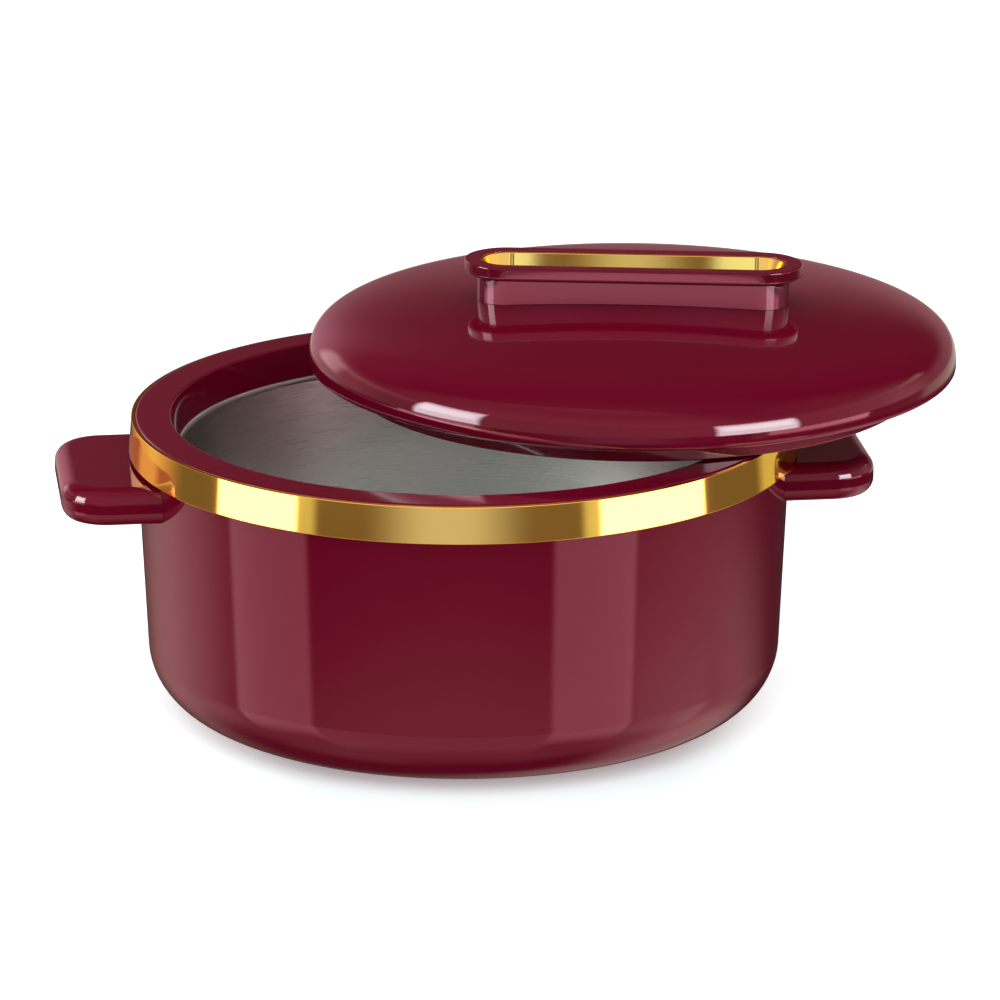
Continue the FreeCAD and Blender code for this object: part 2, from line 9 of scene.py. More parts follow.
import bmesh
import bpy
import numpy as np
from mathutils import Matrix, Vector

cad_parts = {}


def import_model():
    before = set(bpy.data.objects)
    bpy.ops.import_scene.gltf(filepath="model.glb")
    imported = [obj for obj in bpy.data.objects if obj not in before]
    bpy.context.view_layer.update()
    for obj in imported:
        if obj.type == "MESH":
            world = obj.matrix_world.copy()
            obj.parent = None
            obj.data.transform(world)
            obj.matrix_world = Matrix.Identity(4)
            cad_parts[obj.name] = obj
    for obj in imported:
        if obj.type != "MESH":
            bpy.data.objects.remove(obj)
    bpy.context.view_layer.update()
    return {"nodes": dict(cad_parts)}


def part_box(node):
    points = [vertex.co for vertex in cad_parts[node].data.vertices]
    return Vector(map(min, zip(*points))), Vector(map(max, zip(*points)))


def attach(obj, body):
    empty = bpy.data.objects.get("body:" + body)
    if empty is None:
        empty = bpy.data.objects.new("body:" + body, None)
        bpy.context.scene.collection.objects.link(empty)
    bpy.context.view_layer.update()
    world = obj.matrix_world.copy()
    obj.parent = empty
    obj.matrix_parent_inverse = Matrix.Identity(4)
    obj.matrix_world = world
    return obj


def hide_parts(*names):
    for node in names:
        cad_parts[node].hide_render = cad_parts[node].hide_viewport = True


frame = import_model()
MM = 0.001


def low(node):
    """Lowest corner of a node in millimetres."""
    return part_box(node)[0] / MM


def high(node):
    """Highest corner of a node in millimetres."""
    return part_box(node)[1] / MM


# ---- pot ----
FIT = 0.1                              # clearance between pieces that are fixed to each other
POT_H = high("rim_collar").z
SKIRT_R = high("rim_collar").x         # collar's outside, under the band
BAND_BOTTOM = low("gold_band").z
BAND_TOP = high("gold_band").z
BODY_R = SKIRT_R - 0.3                 # wall just under the band
BODY_DRAFT = math.radians(2.55)
BODY_T = 3.0
BODY_EDGE = 0.3                        # at the plate's recess and under the collar
BASE_ROUND = 22.7
SHOULDER_Z = BAND_BOTTOM + 2.0         # rebate that carries the collar
SPIGOT_R = BODY_R - 1.5
BODY_TOP = high("outer_body").z
PLATE_R = high("base_plate").x
PLATE_T = 1.7
PLATE_LEDGE_W = 8.0
BAND_T = 1.3
BAND_FLARE = 1.0                       # it stands out further at its lower edge
BAND_EDGE = 0.15
RIM_FLAT = 12.8
RIM_T = 2.6
RIM_ROUND = 0.8
COLLAR_DEPTH = POT_H - low("rim_collar").z
COLLAR_LEAN = 2.8
COLLAR_T = 2.4
COLLAR_FOOT_ROUND = 0.4
BOWL_T = 0.7
BOWL_STEP = 0.6
BOWL_LEAN = 5.0
BOWL_ROUND = 16.0
BOWL_EDGE = 1.5
BOWL_RIM_Z = low("bowl_seal").z
BOWL_FLOOR_Z = low("inner_bowl").z + BOWL_T
HOOK_TOP_Z = high("inner_bowl").z
MOUTH_R = SKIRT_R - RIM_FLAT

# ---- lugs ----
LUG_TOP = high("right_lug").z
LUG_UNDER = low("right_lug").z
LUG_REACH = high("right_lug").x
LUG_HALF_W = high("right_lug").y
LUG_CORNER = 17.0
LUG_ROUND = 5.4
LUG_T = 2.6
LUG_BACK_T = 3.0
LUG_BOSS_R = 4.2
LUG_BOSS_L = 12.0
LUG_BOSS_Y = 22.0
LUG_BOSS_ROOT = 1.0                    # how deep a boss starts inside the lug's back
LUG_BOSS_ROUND = 0.4

# ---- lid ----
LID_R = (high("lid_shell").x - low("lid_shell").x) / 2
LID_SHOULDER_H = 16.2
LID_SHOULDER_M = 12.0                  # superellipse powers of the shoulder, along radius and height
LID_SHOULDER_N = 3.1
LID_CROWN_H = 6.9
LID_T = 2.5
LIP_H = 2.0
LIP_ROUND = 5.0
LIP_IN_R = LID_R - 6.5
PLUG_R = 103.5
PLUG_T = 2.0
PLUG_Z = -9.3
PLUG_OUT_ROUND = 0.6
PLUG_IN_ROUND = 0.3
PANEL_T = 2.0
PANEL_RECESS = 0.35
PANEL_LEDGE_R = LIP_IN_R + 2.0
PANEL_LEDGE_W = 4.4
PANEL_LEDGE_H = 1.5
FILL_R = 9.0
FILL_HEAD_R = 11.0
FILL_HEAD_T = 0.9
FILL_EDGE = 0.2
LID_LEAN = math.radians(0.3357)
LID_MIDDLE = (high("lid_shell") + low("lid_shell")) / 2
LID_RISE = low("lid_shell").z + LIP_H + (LID_R - LIP_ROUND) * math.sin(LID_LEAN)
LID_DIR = math.atan2(LID_MIDDLE.y, LID_MIDDLE.x)

# ---- handle, a stadium seen from above: every outline is an offset from one straight line ----
HANDLE_TOP = 36.8
HANDLE_YAW = math.radians(-10.3)
HANDLE_RUN = 45.75                     # half the length of that line
FLANGE_R = 16.0
FLANGE_T = 5.0
FLANGE_ROUND = 0.5
FLANGE_UNDER_ROUND = 1.3
PEDESTAL_R = 11.5
PEDESTAL_T = 2.3
PEDESTAL_FILLET = 0.35
TRAY_R = 10.0
TRAY_T = 0.9
TRAY_DRAFT = math.radians(17)
TRAY_LIP_ROUND = 0.3
TRAY_FLOOR_ROUND = 0.5
RECESS_EDGE = 0.25
TRAY_TOP = HANDLE_TOP - 0.3
TRAY_FLOOR = TRAY_TOP - 5.6
RECESS_FLOOR = TRAY_FLOOR - TRAY_T - FIT
DECK_UNDER = RECESS_FLOOR - 1.8

# ---- view and studio ----
CAMERA_AZIMUTH = math.radians(-6.6)
CAMERA_ELEVATION = math.radians(16.21)
CAMERA_DISTANCE = 2.2018               # to the middle of the rim
CAMERA_LENS = 219.06
SENSOR_W = 36
SIGHT = 50                             # how far the camera sees, in metres
AIM_RIGHT = 0.01324                    # where the camera aims, from the middle of the rim
AIM_DOWN = 0.03296
AMBIENT = 0.86
OVERHEAD_PLACE = Vector((-0.3, -0.5, 1.6))
OVERHEAD_AIM = Vector((0, 0, 0.08))
OVERHEAD_SIZE = 1.6
OVERHEAD_POWER = 9.0
FLOOR_SIZE = 12.0
FLOOR_DROP = 0.0002                    # the floor lies this far under the base
FLOOR_COLOUR = (0.875, 1.0, 1.0)
GLOW_AHEAD = 0.28                      # what the floor adds for the camera alone, in front of the pot
GLOW_BESIDE = 0.62                     # and beside it
GLOW_FROM = 0.055                      # the change between the two, in metres from the middle
GLOW_TO = 0.125

# ---- fineness of the meshes ----
AROUND = 288                           # steps round a turned piece
BOSS_SKIP = 6                          # a boss keeps every sixth of them
HOLD = 0.25                            # point beside a rounding, in mm, that keeps the flat next to it flat
FINE_HOLD = 0.1                        # the same for thin pieces
SHARP = math.radians(35)
WELD = 1e-6
DOME_SAMPLES = 4000
DOME_OUT_STEPS = 110
DOME_IN_STEPS = 60
LIP_STEPS = 13
HANDLE_END_STEPS = 40
HANDLE_RUN_STEPS = 48
LUG_SIDE_STEPS = 12
LUG_CORNER_STEPS = 13
LUG_TIP_STEPS = 8
LUG_WALL_STEPS = 22
LUG_EDGE_STEPS = 8
LUG_LIP_STEPS = 6


# ---- shapes ----
def unit(vector):
    """The vector's direction."""
    return vector / np.linalg.norm(vector)


def rounded(corners, steps=8, hold=HOLD):
    """Profile through (r, z, rounding) corners, closed from the last to the first. A rounding is an arc tangent
    to both of its sides, in equal angles; a hold point beside each end keeps the straight stretches' shading
    flat."""
    points = []
    for i, here in enumerate(corners):
        place = np.array(here[:2], float)
        if len(here) < 3:
            points.append(place[None])
            continue
        back = unit(np.array(corners[i - 1][:2]) - place)
        ahead = unit(np.array(corners[(i + 1) % len(corners)][:2]) - place)
        half = math.acos(back @ ahead) / 2
        reach = here[2] / math.tan(half)
        centre = place + unit(back + ahead) * here[2] / math.sin(half)
        start = place + back * reach - centre
        finish = place + ahead * reach - centre
        turn = math.pi - 2 * half
        share = np.linspace(0, 1, steps + 1)[:, None]
        arc = centre + (start * np.sin((1 - share) * turn) + finish * np.sin(share * turn)) / math.sin(turn)
        points += [(place + back * (reach + hold))[None], arc, (place + ahead * (reach + hold))[None]]
    return np.vstack(points)


def evenly(curve, count):
    """The curve again with `count` points, spaced evenly in its length plus its turning, each as a share."""
    step = np.diff(curve, axis=0)
    heading = np.unwrap(np.arctan2(step[:, 1], step[:, 0]))
    length = np.cumsum(np.hypot(*step.T))
    turning = np.cumsum(np.abs(np.diff(heading, prepend=heading[0])))
    measure = np.concatenate([[0], length / length[-1] + turning / turning[-1]])
    wanted = np.linspace(0, measure[-1], count)
    return np.stack([np.interp(wanted, measure, curve[:, k]) for k in (0, 1)], -1)


def turned(profile):
    """Surface of revolution about Z: (r cos a, r sin a, z) over the angle a and the profile's (r, z)."""
    angle = np.linspace(0, 2 * math.pi, AROUND, endpoint=False)[:, None]
    r, z = profile.T
    return np.stack([r * np.cos(angle), r * np.sin(angle), z + 0 * angle], -1)


def surface(name, material, body, node, *grids, closed=True):
    """One piece from grids of points in millimetres. Each grid wraps round its first direction, and round its
    second one too where the profile is closed; otherwise it ends in poles. Doubles are merged and the faces
    turned outward. The piece rides its body and stands in for the node."""
    points, quads, count = [], [], 0
    for grid in grids:
        rows, columns = grid.shape[:2]
        index = np.arange(rows * columns).reshape(rows, columns) + count
        index = np.vstack([index, index[:1]])
        if closed:
            index = np.hstack([index, index[:, :1]])
        quads.append(np.stack([index[:-1, :-1], index[1:, :-1], index[1:, 1:], index[:-1, 1:]], -1).reshape(-1, 4))
        points.append(grid.reshape(-1, 3) * MM)
        count += rows * columns
    points, quads = np.vstack(points), np.vstack(quads)
    mesh = bpy.data.meshes.new(name)
    mesh.vertices.add(len(points))
    mesh.vertices.foreach_set("co", points.ravel())
    mesh.loops.add(quads.size)
    mesh.loops.foreach_set("vertex_index", quads.ravel())
    mesh.polygons.add(len(quads))
    mesh.polygons.foreach_set("loop_start", np.arange(0, quads.size, 4))
    mesh.update(calc_edges=True)
    solid = bmesh.new()
    solid.from_mesh(mesh)
    bmesh.ops.remove_doubles(solid, verts=solid.verts, dist=WELD)
    bmesh.ops.recalc_face_normals(solid, faces=solid.faces)
    solid.to_mesh(mesh)
    solid.free()
    mesh.polygons.foreach_set("use_smooth", np.ones(len(mesh.polygons), bool))
    mesh.set_sharp_from_angle(angle=SHARP)
    piece = bpy.data.objects.new(name, mesh)
    bpy.context.scene.collection.objects.link(piece)
    mesh.materials.append(material)
    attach(piece, body)
    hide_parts(node)


def on_lid(grid):
    """Lay points of the lid on the pot: lean about the level line across the shift, then move to its place."""
    across = np.array([-math.sin(LID_DIR), math.cos(LID_DIR), 0])
    leaned = (grid * math.cos(LID_LEAN) + np.cross(across, grid) * math.sin(LID_LEAN)
              + across * (grid @ across)[..., None] * (1 - math.cos(LID_LEAN)))
    return leaned + np.array([LID_MIDDLE.x, LID_MIDDLE.y, LID_RISE])


def wall_r(z):
    """Radius of the body's drafted wall at height z."""
    return BODY_R - math.tan(BODY_DRAFT) * (BAND_BOTTOM - z)


def collar_out_r(z):
    """Radius of the collar's hidden face at height z."""
    return MOUTH_R + COLLAR_T - COLLAR_LEAN * (POT_H - z) / COLLAR_DEPTH


def dome_rise(share, shoulder):
    """Height of the dome at a share s of its radius: shoulder (1 - s^m)^(1/n) + crown (1 - s^2)."""
    return shoulder * (1 - share ** LID_SHOULDER_M) ** (1 / LID_SHOULDER_N) + LID_CROWN_H * (1 - share ** 2)


def dome_curve(inset, count):
    """Half outline of the dome from its top to its side, `inset` inside the outer one. The samples crowd towards
    the side, where it turns fastest."""
    share = 1 - (1 - np.linspace(0, 1, DOME_SAMPLES)) ** 4
    return evenly(np.stack([share * (LID_R - inset), dome_rise(share, LID_SHOULDER_H - inset)], -1), count)


# ---- pieces of the pot ----
def outer_body():
    """Base, drafted wall, rebate and spigot for the collar, and the hollow down to the plate's recess."""
    wall_in = wall_r(SHOULDER_Z) - BODY_T
    plate_edge = PLATE_R + FIT
    ledge = PLATE_R - PLATE_LEDGE_W + FIT
    profile = rounded([
        (plate_edge, 0, BODY_EDGE), (wall_r(0), 0, BASE_ROUND), (wall_r(SHOULDER_Z), SHOULDER_Z, BODY_EDGE),
        (SPIGOT_R, SHOULDER_Z), (SPIGOT_R, BODY_TOP), (wall_in, BODY_TOP), (wall_in, SHOULDER_Z),
        (wall_r(BODY_T) - BODY_T, BODY_T, BASE_ROUND - BODY_T), (ledge, BODY_T),
        (ledge, PLATE_T + FIT), (plate_edge, PLATE_T + FIT)], steps=16)
    surface("body_shell", GLOSS, "pot", "outer_body", turned(profile))


def rim_collar():
    """Flat rim with a skirt over the body's spigot and a leaning inner wall down to the bowl."""
    foot_z = POT_H - COLLAR_DEPTH
    skirt_in = SPIGOT_R + FIT
    profile = rounded([
        (SKIRT_R, SHOULDER_Z + FIT), (SKIRT_R, POT_H, RIM_ROUND), (MOUTH_R, POT_H, RIM_ROUND),
        (MOUTH_R - COLLAR_LEAN, foot_z, COLLAR_FOOT_ROUND), (collar_out_r(foot_z), foot_z),
        (collar_out_r(POT_H - RIM_T), POT_H - RIM_T), (skirt_in, POT_H - RIM_T), (skirt_in, SHOULDER_Z + FIT)])
    surface("rim_ring", GLOSS, "pot", "rim_collar", turned(profile))


def gold_band():
    """Band round the skirt, wider at its foot."""
    inner = SKIRT_R + FIT
    outer = inner + BAND_T
    profile = rounded([
        (inner, BAND_BOTTOM), (outer + BAND_FLARE, BAND_BOTTOM, BAND_EDGE), (outer, BAND_TOP, BAND_EDGE),
        (inner, BAND_TOP)])
    surface("trim_band", GOLD, "pot", "gold_band", turned(profile))


def inner_bowl():
    """Pressed bowl: floor, leaning wall, flange and the upturned edge behind the collar."""
    mouth = MOUTH_R - COLLAR_LEAN - BOWL_STEP
    floor = mouth - BOWL_LEAN
    hook_in = collar_out_r(HOOK_TOP_Z) + FIT
    hook_out = hook_in + BOWL_T
    under = BOWL_RIM_Z - BOWL_T
    profile = rounded([
        (0, BOWL_FLOOR_Z), (floor, BOWL_FLOOR_Z, BOWL_ROUND), (mouth, BOWL_RIM_Z, BOWL_EDGE),
        (hook_in, BOWL_RIM_Z), (hook_in, HOOK_TOP_Z), (hook_out, HOOK_TOP_Z), (hook_out, under, BOWL_T),
        (mouth + BOWL_T, under, BOWL_EDGE - BOWL_T), (floor + BOWL_T, BOWL_FLOOR_Z - BOWL_T, BOWL_ROUND + BOWL_T),
        (0, BOWL_FLOOR_Z - BOWL_T)], steps=12)
    surface("bowl", STEEL, "pot", "inner_bowl", turned(profile), closed=False)


def lug_rings(profile):
    """Rings of a lug seen from above, one for each (inset, z, back radius) of its profile. A ring runs out along
    one side, round two corners of radius c = corner - inset, back along the other side, and along the wall's
    arc; an inset of None closes the form in one point."""
    side = np.linspace(0, 1, LUG_SIDE_STEPS, endpoint=False)
    quarter = np.linspace(0, math.pi / 2, LUG_CORNER_STEPS + 1)
    tip = np.linspace(-1, 1, LUG_TIP_STEPS + 2)[1:-1]
    centre_x = LUG_REACH - LUG_CORNER
    centre_y = LUG_HALF_W - LUG_CORNER
    rings = []
    for inset, z, back in profile:
        c = LUG_CORNER - (LUG_ROUND if inset is None else inset)
        half = centre_y + c
        start = math.sqrt(back ** 2 - half ** 2)
        spread = np.linspace(1, -1, LUG_WALL_STEPS + 2)[1:-1] * math.asin(half / back)
        x = np.concatenate([start + side * (centre_x - start), centre_x + c * np.sin(quarter),
                            np.full(len(tip), centre_x + c), centre_x + c * np.cos(quarter),
                            (start + side * (centre_x - start))[::-1], back * np.cos(spread)])
        y = np.concatenate([np.full(len(side), -half), -centre_y - c * np.cos(quarter), tip * centre_y,
                            centre_y + c * np.sin(quarter), np.full(len(side), half), back * np.sin(spread)])
        if inset is None:
            x, y = 0 * x + centre_x, 0 * y
        rings.append(np.stack([x, y, 0 * x + z], -1))
    return np.stack(rings, 1)


def lug(name, node, side):
    """A lug: top, rounded edge, side, rounded lower edge that ends in the lip, and the hollow up to its roof."""
    top_turn = np.linspace(0, math.pi / 2, LUG_EDGE_STEPS + 1)
    lip_turn = np.linspace(0, math.acos(1 - LUG_T / LUG_ROUND), LUG_LIP_STEPS + 1)
    roof = LUG_TOP - LUG_T
    back = wall_r(LUG_TOP) + LUG_BACK_T
    inner = LUG_ROUND - LUG_T
    lip = LUG_UNDER + LUG_ROUND * (1 - math.sin(lip_turn[-1]))
    outside = [(None, LUG_TOP), (LUG_ROUND + HOLD, LUG_TOP)]
    outside += [(LUG_ROUND * (1 - math.sin(a)), LUG_TOP - LUG_ROUND * (1 - math.cos(a))) for a in top_turn]
    outside += [(0, LUG_TOP - LUG_ROUND - HOLD), (0, LUG_UNDER + LUG_ROUND + HOLD)]
    outside += [(LUG_ROUND * (1 - math.cos(a)), LUG_UNDER + LUG_ROUND * (1 - math.sin(a))) for a in lip_turn]
    inside = [(LUG_T, lip), (LUG_T, roof - inner - HOLD)]
    inside += [(LUG_T + inner * (1 - math.cos(a)), roof - inner * (1 - math.sin(a))) for a in top_turn]
    inside += [(LUG_ROUND + HOLD, roof), (None, roof)]
    profile = [(inset, z, wall_r(z) + FIT) for inset, z in outside] + [(inset, z, back) for inset, z in inside]
    block = lug_rings(profile)
    boss_root = back - LUG_BOSS_ROOT
    boss_end = wall_r(LUG_TOP) + LUG_BOSS_L
    rod = turned(rounded([(0, boss_root), (LUG_BOSS_R, boss_root), (LUG_BOSS_R, boss_end, LUG_BOSS_ROUND),
                          (0, boss_end)]))
    rod = rod[::BOSS_SKIP, :, ::-1]    # z and x change places, so that it lies along X
    middle = (LUG_TOP + LUG_UNDER) / 2
    bosses = [rod + np.array([0, y, middle]) for y in (-LUG_BOSS_Y, LUG_BOSS_Y)]
    grids = [grid * np.array([side, side, 1]) for grid in [block] + bosses]
    surface(name, GLOSS, "pot", node, *grids, closed=False)


# ---- pieces of the lid ----
def lid_shell():
    """Dome, a quarter ellipse under its side, the flat lip, and the dome's inner face."""
    turn = np.linspace(0, math.pi / 2, LIP_STEPS + 1)[1:]
    ellipse = np.stack([LID_R - LIP_ROUND * (1 - np.cos(turn)), -LIP_H * np.sin(turn)], -1)
    lip = np.array([(LIP_IN_R, -LIP_H), (LIP_IN_R, 0.0)])
    profile = np.vstack([dome_curve(0, DOME_OUT_STEPS), ellipse, lip, dome_curve(LID_T, DOME_IN_STEPS)[::-1]])
    surface("lid_dome", GLOSS, "lid", "lid_shell", on_lid(turned(profile)), closed=False)


def lid_inner_panel():
    """Underside of the lid: the ledge in the shell's mouth, the plug ring and the filling hole's seat."""
    plug_in = PLUG_R - PLUG_T
    under = PLUG_Z + PANEL_RECESS
    top = under + PANEL_T
    ledge_in = PANEL_LEDGE_R - PANEL_LEDGE_W
    head = FILL_HEAD_R + FIT
    head_top = under + FILL_HEAD_T + FIT
    profile = rounded([
        (head, under, FILL_EDGE), (plug_in, under), (plug_in, PLUG_Z, PLUG_IN_ROUND),
        (PLUG_R, PLUG_Z, PLUG_OUT_ROUND), (PLUG_R, -LIP_H),
        (LIP_IN_R - FIT, -LIP_H), (LIP_IN_R - FIT, FIT), (PANEL_LEDGE_R, FIT), (PANEL_LEDGE_R, PANEL_LEDGE_H),
        (ledge_in, PANEL_LEDGE_H), (ledge_in, PANEL_T - LIP_H), (plug_in, PANEL_T - LIP_H), (plug_in, top),
        (FILL_R + FIT, top), (FILL_R + FIT, head_top), (head, head_top)], hold=FINE_HOLD)
    surface("lid_panel", SATIN, "lid", "lid_inner_panel", on_lid(turned(profile)))


def stadium(profile):
    """Offsets of the handle's middle line: base point plus rho times the outward direction, over the way round
    and the profile's (rho, z)."""
    quarter = math.pi / 2
    end = np.linspace(-quarter, quarter, HANDLE_END_STEPS)
    run = np.linspace(1, -1, HANDLE_RUN_STEPS + 2)[1:-1]
    base = np.concatenate([end * 0 + 1, run, end * 0 - 1, -run])[:, None] * HANDLE_RUN
    angle = np.concatenate([end, run * 0 + quarter, end + math.pi, run * 0 - quarter])[:, None]
    rho, z = profile.T
    x = base + rho * np.cos(angle)
    y = rho * np.sin(angle)
    turn_x = x * math.cos(HANDLE_YAW) - y * math.sin(HANDLE_YAW)
    turn_y = x * math.sin(HANDLE_YAW) + y * math.cos(HANDLE_YAW)
    return np.stack([turn_x, turn_y, z + 0 * x], -1)


def lid_handle():
    """Flange on its pedestal. The pedestal's foot follows the dome just above it."""
    foot = LID_SHOULDER_H                  # marks the foot's points until they get the dome's height
    under = HANDLE_TOP - FLANGE_T
    bore = PEDESTAL_R - PEDESTAL_T
    recess = TRAY_R + FIT
    profile = rounded([
        (0, RECESS_FLOOR), (recess, RECESS_FLOOR), (recess, HANDLE_TOP, RECESS_EDGE),
        (FLANGE_R, HANDLE_TOP, FLANGE_ROUND), (FLANGE_R, under, FLANGE_UNDER_ROUND),
        (PEDESTAL_R, under, PEDESTAL_FILLET), (PEDESTAL_R, foot), (bore, foot), (bore, DECK_UNDER),
        (0, DECK_UNDER)])
    grid = stadium(profile)
    at_foot = profile[:, 1] == foot
    share = np.hypot(grid[:, at_foot, 0], grid[:, at_foot, 1]) / (LID_R + FIT)
    grid[:, at_foot, 2] = dome_rise(share, LID_SHOULDER_H + FIT)
    surface("lid_grip", GLOSS, "lid", "lid_handle", on_lid(grid), closed=False)


def handle_inlay():
    """Tray sunk in the handle's top, with leaning inner walls."""
    inner = TRAY_R - TRAY_T
    foot = inner - math.tan(TRAY_DRAFT) * (TRAY_TOP - TRAY_FLOOR)
    under = TRAY_FLOOR - TRAY_T
    profile = rounded([
        (0, TRAY_FLOOR), (foot, TRAY_FLOOR, TRAY_FLOOR_ROUND), (inner, TRAY_TOP, TRAY_LIP_ROUND),
        (TRAY_R, TRAY_TOP, TRAY_LIP_ROUND), (TRAY_R, under, TRAY_FLOOR_ROUND), (0, under)], hold=FINE_HOLD)
    surface("grip_tray", TRAY_GOLD, "lid", "handle_inlay", on_lid(stadium(profile)), closed=False)


# ---- node helpers ----
def add(tree, kind, **settings):
    """A new node with its settings."""
    node = tree.nodes.new(kind)
    for name, value in settings.items():
        setattr(node, name, value)
    return node


def math_node(tree, operation, first, second=None, third=None):
    """A Math node; a number is set on its socket and a socket is linked to it. Returns its result."""
    node = add(tree, "ShaderNodeMath", operation=operation)
    for place, value in zip(node.inputs, (first, second, third)):
        if isinstance(value, (int, float)):
            place.default_value = value
        elif value is not None:
            tree.links.new(value, place)
    return node.outputs[0]


def scaled(tree, colour, share):
    """A colour or vector times a share."""
    node = add(tree, "ShaderNodeVectorMath", operation="SCALE")
    tree.links.new(colour, node.inputs[0])
    tree.links.new(share, node.inputs["Scale"])
    return node.outputs[0]


def summed(tree, one, other):
    """Sum of two colours."""
    node = add(tree, "ShaderNodeVectorMath", operation="ADD")
    tree.links.new(one, node.inputs[0])
    tree.links.new(other, node.inputs[1])
    return node.outputs[0]


def soft_range(tree, value, start, stop, first, last):
    """Smooth change from first to last while the value goes from start to stop."""
    node = add(tree, "ShaderNodeMapRange", interpolation_type="SMOOTHSTEP")
    tree.links.new(value, node.inputs["Value"])
    for label, given in (("From Min", start), ("From Max", stop), ("To Min", first), ("To Max", last)):
        if isinstance(given, (int, float)):
            node.inputs[label].default_value = given
        else:
            tree.links.new(given, node.inputs[label])
    return node.outputs["Result"]


def noise_of(tree, vector, scale, detail):
    """Value of a noise texture."""
    node = add(tree, "ShaderNodeTexNoise")
    node.inputs["Detail"].default_value = detail
    tree.links.new(vector, node.inputs["Vector"])
    tree.links.new(scale, node.inputs["Scale"])
    return node.outputs["Fac"]


def bump_of(tree, value, height):
    """Normal of a bump that stands `height` metres out where the value is 1."""
    node = add(tree, "ShaderNodeBump")
    tree.links.new(value, node.inputs["Height"])
    tree.links.new(height, node.inputs["Distance"])
    return node.outputs["Normal"]


def new_group(name, inputs, outputs):
    """A node group with (name, kind, default) inputs and (name, kind) outputs. Returns tree, input, output."""
    group = bpy.data.node_groups.new(name, "ShaderNodeTree")
    for label, kind, value in inputs:
        made = group.interface.new_socket(name=label, in_out="INPUT", socket_type=kind)
        if value is not None:
            made.default_value = value
    for label, kind in outputs:
        group.interface.new_socket(name=label, in_out="OUTPUT", socket_type=kind)
    return group, add(group, "NodeGroupInput"), add(group, "NodeGroupOutput")


def place_group(tree, group, coordinates, **values):
    """Put a group into a material. Keyword names are its inputs with _ for a space."""
    node = add(tree, "ShaderNodeGroup", node_tree=group)
    tree.links.new(coordinates, node.inputs["Vector"])
    for name, value in values.items():
        node.inputs[name.replace("_", " ")].default_value = value
    return node


FLOAT, COLOUR, VECTOR = "NodeSocketFloat", "NodeSocketColor", "NodeSocketVector"
LINE_TURN = 0.002                      # how far the drawn lines' noise moves on in one radian round the axis


def tone_drift_group():
    """Colour that drifts a little lighter and darker over the surface, as pigment does in a moulding."""
    group, given, out = new_group(
        "Tone Drift", [("Vector", VECTOR, None), ("Color", COLOUR, None), ("Amount", FLOAT, 0.05),
                       ("Scale", FLOAT, 20.0)], [("Color", COLOUR)])
    noise = noise_of(group, given.outputs["Vector"], given.outputs["Scale"], 3)
    swing = math_node(group, "MULTIPLY", math_node(group, "SUBTRACT", noise, 0.5), given.outputs["Amount"])
    shade = scaled(group, given.outputs["Color"], math_node(group, "MULTIPLY_ADD", swing, 2.0, 1.0))
    group.links.new(shade, out.inputs["Color"])
    return group


def mould_skin_group():
    """Faint waviness of a moulded or plated skin, as a normal."""
    group, given, out = new_group(
        "Mould Skin", [("Vector", VECTOR, None), ("Scale", FLOAT, 300.0), ("Height", FLOAT, 1e-6)],
        [("Normal", VECTOR)])
    noise = noise_of(group, given.outputs["Vector"], given.outputs["Scale"], 1)
    group.links.new(bump_of(group, noise, given.outputs["Height"]), out.inputs["Normal"])
    return group


def handling_group():
    """Roughness with cloudy handling marks over a base value."""
    group, given, out = new_group(
        "Handling Marks", [("Vector", VECTOR, None), ("Base", FLOAT, 0.1), ("Spread", FLOAT, 0.03),
                           ("Scale", FLOAT, 40.0)], [("Roughness", FLOAT)])
    noise = noise_of(group, given.outputs["Vector"], given.outputs["Scale"], 4)
    swing = math_node(group, "SUBTRACT", noise, 0.5)
    rough = math_node(group, "MULTIPLY_ADD", swing, given.outputs["Spread"], given.outputs["Base"])
    group.links.new(rough, out.inputs["Roughness"])
    return group


def drawn_lines_group():
    """Fine lines round the Z axis, as turning and polishing leave them: noise read at (radius, height)."""
    group, given, out = new_group(
        "Drawn Lines", [("Vector", VECTOR, None), ("Scale", FLOAT, 900.0), ("Height", FLOAT, 1e-6),
                        ("Base", FLOAT, 0.2), ("Spread", FLOAT, 0.1)],
        [("Roughness", FLOAT), ("Normal", VECTOR)])
    split = add(group, "ShaderNodeSeparateXYZ")
    group.links.new(given.outputs["Vector"], split.inputs[0])
    x, y, z = split.outputs
    squares = math_node(group, "ADD", math_node(group, "MULTIPLY", x, x), math_node(group, "MULTIPLY", y, y))
    radius = math_node(group, "SQRT", squares)
    slow = math_node(group, "MULTIPLY", math_node(group, "ARCTAN2", y, x), LINE_TURN)
    join = add(group, "ShaderNodeCombineXYZ")
    for value, place in zip((radius, z, slow), join.inputs):
        group.links.new(value, place)
    noise = noise_of(group, join.outputs[0], given.outputs["Scale"], 2)
    swing = math_node(group, "SUBTRACT", noise, 0.5)
    rough = math_node(group, "MULTIPLY_ADD", swing, given.outputs["Spread"], given.outputs["Base"])
    group.links.new(rough, out.inputs["Roughness"])
    group.links.new(bump_of(group, noise, given.outputs["Height"]), out.inputs["Normal"])
    return group


# ---- materials ----
MAROON = (0.135, 0.0015, 0.0141)
PLATING = (0.95, 0.63, 0.125)
COAT_WHOLE = 0.3                       # slants between which the clear skin fades, 0 facing and 1 edge on
COAT_GONE = 0.5


def new_material(name, colour, **settings):
    """A Principled material on Object coordinates. Settings are its sockets with _ for a space."""
    material = bpy.data.materials.new(name)
    material.use_nodes = True
    tree = material.node_tree
    shader = tree.nodes["Principled BSDF"]
    shader.inputs["Base Color"].default_value = (*colour, 1)
    for label, value in settings.items():
        shader.inputs[label.replace("_", " ")].default_value = value
    return material, tree, shader, add(tree, "ShaderNodeTexCoord").outputs["Object"]


